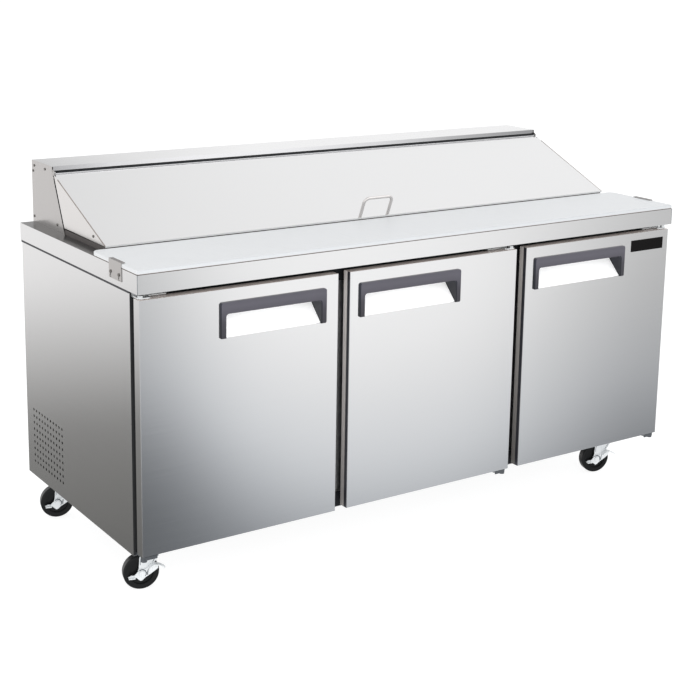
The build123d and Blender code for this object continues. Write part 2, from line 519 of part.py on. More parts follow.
# ---------------------------------------------------------------- lid
ey, ez = LID_EDGE
py, pz = PIVOT
ln = math.hypot(py - ey - 3.0, pz - ez - 1.3)
ty, tz = (py - ey - 3.0) / ln, (pz - ez - 1.3) / ln
ny, nz = -tz, ty
a0 = (ey, ez)
a1 = (ey + ty * ln, ez + tz * ln)
sheet = prism_x([a0, a1, (a1[0] - ny, a1[1] - nz), (a0[0] - ny, a0[1] - nz)], -HOOD_X + 1.0, HOOD_X - 1.0)
sheet = sheet - [box(s * (HOOD_X - 2.6) - 2.2, s * (HOOD_X - 2.6) + 2.2, 214.0, 240.0, 1030.0, 1060.0) for s in (-1, 1)]
lip = box(-HOOD_X + 1.0, HOOD_X - 1.0, ey - 1.0, ey, ez - 4.0, ez) + box(-HOOD_X + 1.0, HOOD_X - 1.0, ey - 1.0, ey + 2.0, ez - 1.0, ez)
tube_x = HOOD_X - 6.0
tube = cyl_x(py, pz, -tube_x, tube_x, 4.4)
rear_cut = cyl_x(py, pz, -tube_x - 5, tube_x + 5, 2.58)
side_edge = lambda z: HOOD_BASE + (z - TOP) * (HOOD_FRONT - 1 - HOOD_BASE) / (HOOD_TOP - 12.0 - TOP) - 8.0
zc = TOP + RAIL_H + 5.0
apex = (side_edge(1041.0), 1041.0)
cheek_pts = [(ey, ez - 1.0), (ey, ez), (apex[0], ez + (apex[0] - ey) * tz / ty), (side_edge(zc), zc), (ey + 5.0, ez - 1.0)]
lids = [sheet, lip, tube]
for s in (-1, 1):
    a, b = sorted((s * HOOD_X, s * (HOOD_X - 1.0)))
    lids.append(prism_x(cheek_pts, a, b))
lid = fuse(lids) - rear_cut
save("lid_panel", lid)

# pull handle: bent wire standing square to the lid at its front edge
fy0, fz = ey + 5.0 * ty, ez + 5.0 * tz
hxa, hxb, hh = -75.0, 22.0, 62.0
pts = [(hxa, fy0, fz), (hxa, fy0 + ny * hh, fz + nz * hh), (hxb, fy0 + ny * hh, fz + nz * hh), (hxb, fy0, fz)]
path = FilletPolyline(*pts, radius=16.0)
prof = Plane(origin=pts[0], z_dir=(0, ny, nz)) * Circle(4.5)
save("lid_handle", sweep(prof, path=path))

lid_screws = []
for s in (-1, 1):
    a, b = sorted((s * HOOD_X, s * (HOOD_X + 1.8)))
    lid_screws.append(cyl_x(-36.0, 917.0, a, b, 3.6))
save("lid_screws", lid_screws)

# ---------------------------------------------------------------- cutting board and its clips
board = box(-hw, hw, -hd, -hd + BOARD_DEPTH, TOP, TOP + BOARD_T)
board = fillet(board.edges().filter_by(Axis.Z).group_by(Axis.Y)[-1], 20.0)
board = fillet(board.edges().filter_by(Axis.Z).group_by(Axis.Y)[0], 5.0)
board = chamfer(board.faces().sort_by(Axis.Z)[-1].edges(), 1.5)
board = chamfer(board.faces().sort_by(Axis.Z)[0].edges(), 1.6)
save("cutting_board", board)

for name, s in (("left", -1), ("right", 1)):
    a, b = sorted((s * (hw + 0.3), s * (hw + 1.9)))
    lip_z = TOP + BOARD_T + CLIP_GAP
    plate = box(a, b, -294.0, -222.0, 852.0, lip_z + 1.4)
    a2, b2 = sorted((s * (hw + 1.9), s * (hw - 10.0)))
    plate = plate + box(a2, b2, -294.0, -222.0, lip_z, lip_z + 1.4)
    for y in (-280.5, -232.5):
        plate = plate - box(a - 1, b + 1, y - 2.6, y + 2.6, 857.0, 868.0)
        plate = plate - cyl_x(y, 868.0, a - 1, b + 1, 2.6)
        plate = plate - cyl_x(y, 857.5, a - 1, b + 1, 4.6)
    save("board_clip_" + name, plate)

# ---------------------------------------------------------------- casters
WZ = WHEEL_R
plate_set = []
for cx in (-CASTER_X, CASTER_X):
    for cy in CASTER_Y:
        p = box(cx - 47, cx + 47, cy - 38, cy + 38, BODY_BOT - 3.0, BODY_BOT)
        p = fillet(p.edges().filter_by(Axis.Z), 8.0)
        p = p + cyl_z(cx, cy, 128.0, BODY_BOT - 3.0, 27.0)
        p = p + cyl_z(cx, cy, 111.0, 128.0, 6.0)
        p = p + cyl_z(cx, cy, 111.0, 117.6, 9.5)
        for dx in (-36, 36):
            for dy in (-27, 27):
                p = p + cyl_z(cx + dx, cy + dy, BODY_BOT - 7.5, BODY_BOT - 3.0, 6.0)
        plate_set.append(p)
save("caster_plates", plate_set)

leg_pts = [(-30, 127.6), (26, 127.6), (26, 115), (15, 100), (5, 84), (-8, 68), (-20, 50), (-24, 43), (-29, 38), (-35, 36), (-41, 37.5), (-45.5, 42), (-47, 49), (-43, 62), (-41, 90), (-37, 112)]
arm_pts = [(-72, 41.5), (-66, 37), (-57.4, 35.3), (-50.3, 38.5), (-44, 32), (-38.5, 28), (-33, 30.5), (-27, 36.2), (-10.9, 45.9), (7.5, 58.5), (7.5, 66), (-2, 70), (-12, 70.5), (-19, 64.5), (-26, 60), (-33, 62), (-40.1, 60.7), (-46.3, 53.3), (-55.4, 44.5), (-63, 45.5)]
pedal_pts = [(-20, 64.0), (-14, 71.5), (-5, 75.5), (6, 74.8), (15, 70.8), (25, 64.5), (24, 62.2), (14, 68.2), (5.5, 72.0), (-4.5, 72.7), (-12.5, 69.2), (-17, 63.0)]
crown = box(-30, 26, -19.5, 19.5, 118.0, 127.6)
legs = [prism_y(leg_pts, 17.0, 19.5), prism_y(leg_pts, -19.5, -17.0)]
fork = fuse([crown] + legs) - cyl_z(0, 0, 110, 130, 6.08) - cyl_y(-TRAIL, WZ, -30, 30, 5.02)
axle = cyl_y(-TRAIL, WZ, -22.5, 22.5, 5.0) + cyl_y(-TRAIL, WZ, -26.0, -22.5, 8.0) + cyl_y(-TRAIL, WZ, 19.5, 24.0, 8.0)
wheel = cyl_y(-TRAIL, WZ, -WHEEL_T / 2, WHEEL_T / 2, WHEEL_R)
wheel = fillet(wheel.edges().filter_by(GeomType.CIRCLE), 5.0)
for s in (-1, 1):
    a, b = sorted((s * (WHEEL_T / 2 - 4.0), s * (WHEEL_T / 2 + 1.0)))
    wheel = wheel - (cyl_y(-TRAIL, WZ, a, b, 33.0) - cyl_y(-TRAIL, WZ, a, b, 13.0))
wheel = wheel - cyl_y(-TRAIL, WZ, -20, 20, 5.06)
brake = prism_y(arm_pts, -22.2, -19.8)
brake = fuse([brake, prism_y(pedal_pts, -37.0, -19.8), box(-71.0, -54.0, -31.0, -19.8, 38.4, 41.0)])
brake = brake - cyl_y(-TRAIL, WZ, -40, -10, 5.06)
tags = {(-1, 0): "fl", (1, 0): "fr", (-1, 1): "rl", (1, 1): "rr"}
for (i, j), tag in tags.items():
    loc = Pos(i * CASTER_X, CASTER_Y[j], 0) * Rot(0, 0, HEADING)
    save("caster_fork_" + tag, loc * fork, loc * axle)
    save("caster_wheel_" + tag, loc * wheel)
    save("caster_brake_" + tag, loc * brake)
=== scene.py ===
import bpy, bmesh, json, math
from mathutils import Vector, Matrix

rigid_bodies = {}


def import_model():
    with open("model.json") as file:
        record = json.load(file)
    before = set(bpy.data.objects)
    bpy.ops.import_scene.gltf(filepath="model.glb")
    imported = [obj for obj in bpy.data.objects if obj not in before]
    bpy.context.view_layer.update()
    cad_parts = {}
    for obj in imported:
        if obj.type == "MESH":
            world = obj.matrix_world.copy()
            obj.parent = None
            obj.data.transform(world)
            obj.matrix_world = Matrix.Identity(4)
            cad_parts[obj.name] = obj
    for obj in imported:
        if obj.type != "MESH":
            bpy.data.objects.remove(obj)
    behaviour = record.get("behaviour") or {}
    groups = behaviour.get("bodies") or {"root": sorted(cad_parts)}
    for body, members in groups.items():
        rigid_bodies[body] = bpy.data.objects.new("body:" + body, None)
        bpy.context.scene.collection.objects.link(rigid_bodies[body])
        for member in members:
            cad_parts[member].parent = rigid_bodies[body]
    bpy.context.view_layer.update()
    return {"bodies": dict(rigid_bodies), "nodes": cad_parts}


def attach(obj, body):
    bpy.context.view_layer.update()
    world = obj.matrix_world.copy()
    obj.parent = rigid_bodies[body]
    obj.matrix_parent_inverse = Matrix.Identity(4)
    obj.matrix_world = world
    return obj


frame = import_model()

nodes, bodies = frame["nodes"], frame["bodies"]
scene = bpy.context.scene
scene.view_settings.view_transform = "Standard"
scene.view_settings.look = "None"

# ------------------------------------------------------------------ camera
YAW, PITCH, ROLL = math.radians(34.180), math.radians(-12.023), math.radians(0.991)
FPX, PPX, PPY = 1419.4, 350.0, 245.0
fw = Vector((math.sin(YAW) * math.cos(PITCH), math.cos(YAW) * math.cos(PITCH), math.sin(PITCH)))
right = Vector((math.cos(YAW), -math.sin(YAW), 0.0))
up = right.cross(fw)
r = math.cos(ROLL) * right + math.sin(ROLL) * up
u = -math.sin(ROLL) * right + math.cos(ROLL) * up
cam_data = bpy.data.cameras.new("camera")
cam = bpy.data.objects.new("camera", cam_data)
scene.collection.objects.link(cam)
cam.matrix_world = Matrix(((r.x, u.x, -fw.x, -2.3641), (r.y, u.y, -fw.y, -3.4251), (r.z, u.z, -fw.z, 1.6808), (0, 0, 0, 1)))
cam_data.sensor_width = 36.0
cam_data.lens = FPX / 700.0 * 36.0
cam_data.shift_x = (350.0 - PPX) / 700.0
cam_data.shift_y = (PPY - 350.0) / 700.0
cam_data.clip_start, cam_data.clip_end = 0.05, 60.0
scene.camera = cam


# ------------------------------------------------------------------ node helpers
class Nodes:
    def __init__(self, tree):
        self.t = tree
        self.n = tree.nodes
        self.l = tree.links

    def add(self, kind, **props):
        nd = self.n.new(kind)
        for k, v in props.items():
            setattr(nd, k, v)
        return nd

    def link(self, a, b):
        self.l.new(a, b)

    def math(self, op, a, b=None, c=None, clamp=False):
        nd = self.add("ShaderNodeMath", operation=op)
        nd.use_clamp = clamp
        for i, v in enumerate((a, b, c)):
            if v is None:
                continue
            if isinstance(v, (int, float)):
                nd.inputs[i].default_value = v
            else:
                self.link(v, nd.inputs[i])
        return nd.outputs[0]

    def ramp(self, fac, stops, interp="LINEAR"):
        nd = self.add("ShaderNodeValToRGB")
        cr = nd.color_ramp
        cr.interpolation = interp
        while len(cr.elements) > 1:
            cr.elements.remove(cr.elements[-1])
        cr.elements[0].position = stops[0][0]
        for p, c in stops[1:]:
            cr.elements.new(p)
        for e, (p, c) in zip(cr.elements, stops):
            if isinstance(c, (int, float)):
                c = (c, c, c)
            e.color = (*c, 1.0)
        self.link(fac, nd.inputs[0])
        return nd.outputs[0]

    def noise(self, vec, scale, detail=3.0, rough=0.5):
        nd = self.add("ShaderNodeTexNoise")
        nd.inputs["Scale"].default_value = scale
        nd.inputs["Detail"].default_value = detail
        nd.inputs["Roughness"].default_value = rough
        self.link(vec, nd.inputs["Vector"])
        return nd.outputs[0]

    def mapping(self, vec, scale=(1, 1, 1), loc=(0, 0, 0), rot=(0, 0, 0)):
        nd = self.add("ShaderNodeMapping")
        nd.inputs["Scale"].default_value = scale
        nd.inputs["Location"].default_value = loc
        nd.inputs["Rotation"].default_value = rot
        self.link(vec, nd.inputs["Vector"])
        return nd.outputs[0]

    def mix(self, fac, a, b, blend="MIX"):
        nd = self.add("ShaderNodeMix", data_type="RGBA", blend_type=blend)
        for sock, v in ((nd.inputs[0], fac), (nd.inputs[6], a), (nd.inputs[7], b)):
            if isinstance(v, (int, float)):
                sock.default_value = v
            elif isinstance(v, (tuple, list)):
                sock.default_value = (*v[:3], 1.0)
            else:
                self.link(v, sock)
        return nd.outputs[2]

    def bump(self, height, strength, distance, normal=None):
        nd = self.add("ShaderNodeBump")
        nd.inputs["Strength"].default_value = strength
        nd.inputs["Distance"].default_value = distance
        self.link(height, nd.inputs["Height"])
        if normal is not None:
            self.link(normal, nd.inputs["Normal"])
        return nd.outputs[0]


def new_mat(name, metallic=0.0, rough=0.5, spec=0.5, coat=0.0, coat_rough=0.1, sub=0.0, aniso=0.0):
    m = bpy.data.materials.new(name)
    m.use_nodes = True
    t = Nodes(m.node_tree)
    b = m.node_tree.nodes["Principled BSDF"]
    b.inputs["Metallic"].default_value = metallic
    b.inputs["Roughness"].default_value = rough
    b.inputs["Specular IOR Level"].default_value = spec
    b.inputs["Coat Weight"].default_value = coat
    b.inputs["Coat Roughness"].default_value = coat_rough
    b.inputs["Anisotropic"].default_value = aniso
    if sub:
        b.inputs["Subsurface Weight"].default_value = sub
        b.inputs["Subsurface Radius"].default_value = (0.01, 0.01, 0.01)
    tc = t.add("ShaderNodeTexCoord")
    t.tc = tc
    return m, t, b, tc.outputs["Object"]


def over(t, axis, edge, source="Object"):
    """1 where that coordinate (or, for Normal, that direction) is above edge; a negative-going test uses edge with sign -1."""
    sep = t.add("ShaderNodeSeparateXYZ")
    t.link(t.tc.outputs[source], sep.inputs[0])
    v = sep.outputs["xyz".index(axis[-1])]
    if axis.startswith("-"):
        v = t.math("MULTIPLY", v, -1.0)
    if axis.startswith("|"):
        v = t.math("ABSOLUTE", v)
    return t.math("GREATER_THAN", v, edge)


def normal_z(t):
    sep = t.add("ShaderNodeSeparateXYZ")
    t.link(t.tc.outputs["Normal"], sep.inputs[0])
    return sep.outputs[2]


def along(t, axis, lo, hi, stops):
    """A curve along one coordinate of the object, in metres."""
    sep = t.add("ShaderNodeSeparateXYZ")
    t.link(t.tc.outputs["Object"], sep.inputs[0])
    v = t.math("DIVIDE", t.math("SUBTRACT", sep.outputs["xyz".index(axis)], lo), hi - lo, clamp=True)
    return t.ramp(v, [((a - lo) / (hi - lo), c) for a, c in stops])


def both_of(t, a, b):
    return t.math("MULTIPLY", a, b)


def steel(name, tone=0.66, tint=(1.0, 1.0, 1.0), rough=0.15, grain="x", grain_amount=0.03, mottled=0.03, bump=0.05, fine=900.0, metallic=1.0, masks=()):
    """Brushed sheet: long thin scratches along one axis change the roughness, the tone and the surface.
    Each mask is (test, colour, metallic, roughness, optional shade curve) for a part of the sheet with another finish,
    mostly a painted reflection or painted shade in its colour; the shade curve multiplies that colour as a painted
    gradient of light."""
    m, t, b, obj = new_mat(name, metallic=metallic, rough=rough)
    k = fine
    sc = {"x": (3.0, k, k), "y": (k, 3.0, k), "z": (k, k, 3.0)}[grain]
    scratch = t.noise(t.mapping(obj, sc), 1.0, 2.0, 0.6)
    j = k * 0.18
    sc2 = {"x": (1.2, j, j), "y": (j, 1.2, j), "z": (j, j, 1.2)}[grain]
    broad = t.noise(t.mapping(obj, sc2), 1.0, 2.0, 0.5)
    cloud = t.noise(obj, 2.6, 3.0, 0.55)
    both = t.math("MULTIPLY_ADD", broad, 0.5, t.math("MULTIPLY", scratch, 0.5))
    lo = tuple(tone * c * (1 - mottled) for c in tint)
    hi = tuple(min(1.0, tone * c * (1 + mottled)) for c in tint)
    base = t.mix(t.math("MULTIPLY_ADD", both, 0.6, t.math("MULTIPLY", cloud, 0.4)), lo, hi)
    rr = t.math("MULTIPLY_ADD", both, grain_amount * 2, rough - grain_amount)
    metal = None
    for test, colour, met, rgh, *shade in masks:
        f = test(t)
        # the masked part's colour, mottled: for most masks a painted reflection or painted shade
        mask_finish_and_painted_light = t.mix(cloud, tuple(c * 0.95 for c in colour), tuple(min(1.0, c * 1.05) for c in colour))
        # painted shade: the optional curve darkens the masked colour along one coordinate
        if shade:
            mask_finish_and_painted_light = t.mix(1.0, mask_finish_and_painted_light, shade[0](t), "MULTIPLY")
        base = t.mix(f, base, mask_finish_and_painted_light)
        rr = t.math("ADD", t.math("MULTIPLY", rr, t.math("SUBTRACT", 1.0, f)), t.math("MULTIPLY", f, rgh))
        metal = t.math("ADD", t.math("MULTIPLY", metal if metal is not None else metallic, t.math("SUBTRACT", 1.0, f)), t.math("MULTIPLY", f, met))
    t.link(base, b.inputs["Base Color"])
    t.link(rr, b.inputs["Roughness"])
    if metal is not None:
        t.link(metal, b.inputs["Metallic"])
    t.link(t.bump(both, bump, 0.0002), b.inputs["Normal"])
    return m


def plastic(name, color, rough=0.45, var=0.06, tex_scale=1500.0, bump=0.15, dist=0.0001, spec=0.5, coat=0.0, sub=0.0, painted_light_masks=(), scratches=0.0, shade=None, glow=0.0):
    m, t, b, obj = new_mat(name, rough=rough, spec=spec, coat=coat, sub=sub)
    grain = t.noise(obj, tex_scale, 2.0, 0.5)
    cloud = t.noise(obj, 9.0, 3.0, 0.5)
    lo = tuple(c * (1 - var) for c in color)
    hi = tuple(min(1.0, c * (1 + var)) for c in color)
    base = t.mix(cloud, lo, hi)
    # painted light: each mask lays a painted shade or painted highlight colour over the base
    for test, colour in painted_light_masks:
        base = t.mix(test(t), base, colour)
    if shade is not None:
        base = t.mix(1.0, base, shade(t), "MULTIPLY")
    # glow: emission, painted light on a part that is no lamp
    if glow:
        b.inputs["Emission Color"].default_value = (1, 1, 1, 1)
        b.inputs["Emission Strength"].default_value = glow
    height = grain
    if scratches:
        cuts = t.noise(t.mapping(obj, (260.0, 9.0, 40.0), rot=(0, 0, 0.35)), 1.0, 1.0, 0.4)
        cuts = t.math("MULTIPLY", t.math("SUBTRACT", cuts, 0.62, clamp=True), 6.0, clamp=True)
        cuts2 = t.noise(t.mapping(obj, (8.0, 300.0, 40.0), rot=(0, 0, -0.2)), 1.0, 1.0, 0.4)
        cuts2 = t.math("MULTIPLY", t.math("SUBTRACT", cuts2, 0.64, clamp=True), 6.0, clamp=True)
        marks = t.math("ADD", cuts, cuts2)
        base = t.mix(t.math("MULTIPLY", marks, scratches), base, tuple(c * 0.86 for c in color))
        height = t.math("SUBTRACT", grain, marks)
    t.link(base, b.inputs["Base Color"])
    t.link(t.math("MULTIPLY_ADD", grain, 0.12, rough - 0.06), b.inputs["Roughness"])
    t.link(t.bump(height, bump, dist), b.inputs["Normal"])
    return m


# painted reflections on the doors: the top fold of a door, seen through the gap under the worktop, and its side folds,
# painted in the light and shade they reflect
def fold(t, front):
    side = both_of(t, over(t, "|x", 0.9, "Normal"), over(t, "x", -0.9))
    return both_of(t, side, over(t, "-y", 0.3625) if front else over(t, "y", -0.3625))


DOOR_MASKS = (
    # top fold: painted pale brown reflection, not metal
    (lambda t: both_of(t, over(t, "z", 0.9, "Normal"), over(t, "z", 0.80)), (0.9, 0.8, 0.75), 0.0, 0.3),
    # -X facing bevels: painted shade, darker towards the bottom
    (lambda t: both_of(t, over(t, "-x", 0.2, "Normal"), t.math("SUBTRACT", 1.0, over(t, "-x", 0.97, "Normal"))), (0.64, 0.64, 0.645), 1.0, 0.2,
     lambda t: along(t, "z", 0.15, 0.82, [(0.15, 0.28), (0.45, 0.66), (0.7, 0.95), (0.82, 1.0)])),
    # front half of the side folds: painted dark reflection and shade
    (lambda t: fold(t, True), (0.075, 0.076, 0.09), 0.6, 0.3),
    # rear half of the side folds: painted pale reflection on the left doors, a greyer one on the right, both shaded
    # darker towards the bottom
    (lambda t: both_of(t, fold(t, False), over(t, "-x", 0.0)), (0.92, 0.87, 0.84), 0.0, 0.3, lambda t: along(t, "z", 0.15, 0.82, [(0.15, 0.36), (0.45, 0.72), (0.82, 1.0)])),
    (lambda t: both_of(t, fold(t, False), over(t, "x", 0.0)), (0.58, 0.545, 0.52), 0.0, 0.3, lambda t: along(t, "z", 0.15, 0.82, [(0.15, 0.3), (0.45, 0.65), (0.82, 1.0)])),
)
DOOR = steel("brushed_steel_door", rough=0.12, grain="x", masks=DOOR_MASKS)
# worktop top face: painted dark reflection, full beyond the board's ends and a quarter of it across the middle
TOPS = steel("brushed_steel_worktop", grain="x", masks=((lambda t: both_of(t, both_of(t, over(t, "z", 0.9, "Normal"), over(t, "z", 0.8852)), along(t, "x", -0.92, 0.92, [(-0.92, 1.0), (-0.872, 1.0), (-0.7, 0.25), (0.7, 0.25), (0.872, 1.0), (0.92, 1.0)])), (0.12, 0.115, 0.113), 0.8, 0.28),))
STEEL_X = steel("brushed_steel_across", grain="x")
# front-facing faces of the side panels: painted near black, painted shade in the door gaps
STEEL_Y = steel("brushed_steel_side", grain="y", masks=((lambda t: over(t, "-y", 0.9, "Normal"), (0.02, 0.021, 0.022), 0.0, 0.6),))
LID = steel("lid_steel", tone=0.68, rough=0.14, grain="x", masks=((lambda t: over(t, "|x", 0.9, "Normal"), (0.65, 0.636, 0.625), 1.0, 0.2),))
# painted reflection along x: the front lip brightest near the left end and darker towards the right, the top darker at
# its left end
ROOF = steel("hood_roof_steel", grain="x", masks=(
    (lambda t: over(t, "-y", 0.85, "Normal"), (0.66, 0.66, 0.67), 1.0, 0.16, lambda t: along(t, "x", -0.88, 0.88, [(-0.88, 0.9), (-0.7, 1.25), (-0.1, 0.98), (0.25, 0.8), (0.5, 0.56), (0.88, 0.4)])),
    (lambda t: over(t, "z", 0.9, "Normal"), (0.66, 0.66, 0.66), 1.0, 0.15, lambda t: along(t, "x", -0.88, 0.88, [(-0.88, 0.78), (-0.76, 0.92), (-0.6, 1.0), (0.88, 1.0)])),))
END = steel("hood_end_steel", tone=0.46, tint=(1.0, 0.97, 0.95), rough=0.26, grain="y")
BRIGHT = steel("bright_steel", tone=0.7, rough=0.12, grain="x", bump=0.02)
PULL = steel("pull_wire_steel", tone=0.62, tint=(1.0, 0.965, 0.945), rough=0.2, grain="x", bump=0.02, mottled=0.06)
SCREW = steel("screw_steel", tone=0.2, tint=(1.0, 0.95, 0.9), rough=0.3, grain="z", bump=0.02)
GALV = steel("galvanised", tone=0.5, rough=0.36, grain="x", mottled=0.12, fine=60.0, bump=0.05)
ZINC = steel("zinc_plate", tone=0.85, tint=(0.96, 0.985, 1.0), rough=0.27, grain="z", mottled=0.05, fine=300.0, bump=0.04, metallic=0.15,
             masks=())
# hinge plates below half height: painted near black, painted shade under the doors
HINGE = steel("hinge_zinc", tone=0.8, tint=(0.97, 0.99, 1.0), rough=0.25, grain="z", mottled=0.05, fine=300.0, bump=0.04, metallic=0.6,
              masks=((lambda t: over(t, "-z", -0.5), (0.1, 0.108, 0.118), 0.5, 0.4),))
# upward faces of the clips: painted dark reflection
CLIP = steel("clip_steel", tone=0.5, tint=(1.0, 0.965, 0.94), rough=0.3, grain="y", mottled=0.05, masks=((lambda t: over(t, "z", 0.9, "Normal"), (0.17, 0.155, 0.15), 0.8, 0.35),))
ALU = steel("aluminium_stucco", tone=0.72, rough=0.34, grain="z", mottled=0.05, fine=120.0, bump=0.12)
FIN = steel("fin_aluminium", tone=0.6, rough=0.3, grain="z", mottled=0.1, fine=200.0, bump=0.05)
# board: front faces painted darker grey as painted shade; a brown band on the lower side faces is a painted shadow line
BOARD = plastic("board_polyethylene", (0.775, 0.785, 0.795), rough=0.4, var=0.015, tex_scale=700.0, bump=0.1, dist=0.00012, spec=0.4, scratches=0.35,
                painted_light_masks=((lambda t: over(t, "-y", 0.5, "Normal"), (0.62, 0.635, 0.65)),
                       (lambda t: both_of(t, over(t, "-z", -0.8886), t.math("LESS_THAN", t.math("ABSOLUTE", normal_z(t)), 0.8)), (0.3, 0.275, 0.26))))
# grip: -X faces painted near black and the lower legs darkened by the shade curve, both painted shade
GREY = plastic("grip_plastic", (0.094, 0.09, 0.11), rough=0.36, var=0.08, tex_scale=2200.0, bump=0.2, spec=0.35,
               painted_light_masks=((lambda t: over(t, "-x", 0.35, "Normal"), (0.022, 0.024, 0.036)),),
               shade=lambda t: along(t, "z", 0.69, 0.79, [(0.69, 0.36), (0.735, 0.52), (0.757, 0.8), (0.775, 1.0), (0.79, 0.92)]))
BLACK = plastic("black_plastic", (0.012, 0.012, 0.014), rough=0.5, var=0.2, spec=0.3)
FRAMEB = plastic("frame_plastic", (0.012, 0.013, 0.015), rough=0.6, var=0.15, spec=0.12)
GASKET = plastic("gasket_rubber", (0.011, 0.013, 0.015), rough=0.65, var=0.2, tex_scale=600.0, bump=0.3, spec=0.12)
RAIL = plastic("breaker_plastic", (0.095, 0.084, 0.08), rough=0.45, var=0.1, tex_scale=900.0, spec=0.3)
# dark grey: painted shadow line under the worktop's fascia
STRIP = plastic("joint_shadow_strip", (0.06, 0.061, 0.066), rough=0.55, var=0.15, tex_scale=800.0, bump=0.3, spec=0.15)
TAN = plastic("lid_gasket", (0.62, 0.57, 0.545), rough=0.5, var=0.06, tex_scale=900.0, bump=0.2, spec=0.3)
# dark grey: painted shade in the worktop's corner creases
CORNER = plastic("corner_crease_shade", (0.2, 0.215, 0.225), rough=0.4, var=0.1, tex_scale=900.0, bump=0.2, spec=0.3)
# brown: painted reflection along the lid's left folded edge
HEM = plastic("lid_hem", (0.3, 0.26, 0.24), rough=0.4, var=0.08, tex_scale=900.0, bump=0.2, spec=0.3)
# lower half painted pale grey: painted light
SLEEVE = plastic("hinge_sleeve", (0.011, 0.012, 0.014), rough=0.5, var=0.2, tex_scale=600.0, bump=0.2, spec=0.12,
                 painted_light_masks=((lambda t: over(t, "-z", -1.0463), (0.62, 0.62, 0.63)),))
# dark brown: painted shadow under the board's edge
SEAT_SHADOW = plastic("board_seat_painted_shadow", (0.075, 0.055, 0.047), rough=0.6, var=0.15, tex_scale=800.0, bump=0.3, spec=0.15)
TYRE = plastic("wheel_rubber", (0.008, 0.0085, 0.009), rough=0.3, var=0.25, tex_scale=500.0, bump=0.3, dist=0.0002, spec=0.2)
# white with emission: painted light in the recess, the tray is no lamp
TRAY = plastic("recess_white_glowing", (0.96, 0.96, 0.96), rough=0.3, var=0.01, tex_scale=300.0, bump=0.05, spec=0.5, glow=0.3)
LINER = plastic("inner_pan", (0.78, 0.79, 0.79), rough=0.34, var=0.03, tex_scale=260.0, bump=0.3, dist=0.0003)
FOAM = plastic("foam", (0.72, 0.62, 0.38), rough=0.8, var=0.12, tex_scale=300.0, bump=0.6, dist=0.0006)
WIRE = plastic("coated_wire", (0.74, 0.75, 0.75), rough=0.3, var=0.04, tex_scale=400.0, bump=0.1)
BADGE = plastic("badge_gloss", (0.004, 0.0035, 0.0035), rough=0.22, var=0.2, tex_scale=1200.0, bump=0.04, spec=0.07)
PAINT = plastic("black_paint", (0.012, 0.012, 0.014), rough=0.28, var=0.2, tex_scale=500.0, bump=0.15)

BY_NODE = {
    "worktop": TOPS, "cabinet_side_left": STEEL_Y, "cabinet_side_right": STEEL_Y, "cabinet_back": GALV, "machine_grille": GALV,
    "base_pan": GALV, "insulation": FOAM, "interior_liner": ALU, "face_frame": FRAMEB, "mullions": ALU, "pan_rail": RAIL,
    "pan_bars": BRIGHT, "food_pans": BRIGHT, "hood_ends": END, "hood_roof": ROOF, "lid_rod": BRIGHT, "fixing_screws": SCREW,
    "wire_shelves": WIRE, "shelf_uprights": BRIGHT, "evaporator_coil": FIN, "evaporator_housing": ALU, "evaporator_fan": BLACK,
    "condenser_coil": FIN, "condenser_shroud": GALV, "condenser_fan": BLACK, "compressor": PAINT, "controller_box": BLACK,
    "caster_plates": ZINC, "hinge_plates": HINGE, "badge_plate": BADGE, "lid_panel": LID, "lid_handle": PULL, "lid_screws": SCREW,
    "cutting_board": BOARD, "board_clip_left": CLIP, "board_clip_right": CLIP,
}


def mat_of(n):
    if n in BY_NODE:
        return BY_NODE[n]
    if n.endswith("_skin"):
        return DOOR
    if n.endswith("_core"):
        return LINER
    if n.endswith("_gasket"):
        return GASKET
    if n.endswith("_handle"):
        return GREY
    if n.startswith("caster_wheel"):
        return TYRE
    return ZINC


for n, o in nodes.items():
    m = mat_of(n)
    if o.material_slots:
        for s in o.material_slots:
            s.material = m
    else:
        o.data.materials.append(m)


# ------------------------------------------------------------------ mesh helpers
MM = 0.001


def finish_piece(name, bm, mat, body, bevel=0.0, smooth=False):
    bmesh.ops.remove_doubles(bm, verts=bm.verts, dist=1e-7)
    bmesh.ops.recalc_face_normals(bm, faces=bm.faces)
    me = bpy.data.meshes.new(name)
    bm.to_mesh(me)
    bm.free()
    ob = bpy.data.objects.new(name, me)
    scene.collection.objects.link(ob)
    me.materials.append(mat)
    if smooth:
        for p in me.polygons:
            p.use_smooth = True
    if bevel:
        mod = ob.modifiers.new("bevel", "BEVEL")
        mod.width = bevel * MM
        mod.segments = 2
        mod.limit_method = "ANGLE"
        mod.angle_limit = math.radians(35)
    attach(ob, body)
    return ob


def sweep_flat(bm, pts, axis, a, b):
    """Closed polygon pts, in the two other axes in x, y, z order, drawn out along axis from a to b. Millimetres."""
    def at(p, w):
        q = {"x": (w, p[0], p[1]), "y": (p[0], w, p[1]), "z": (p[0], p[1], w)}[axis]
        return bm.verts.new(Vector(q) * MM)
    va = [at(p, a) for p in pts]
    vb = [at(p, b) for p in pts]
    n = len(pts)
    bm.faces.new(va)
    bm.faces.new(list(reversed(vb)))
    for i in range(n):
        bm.faces.new((va[i], vb[i], vb[(i + 1) % n], va[(i + 1) % n]))


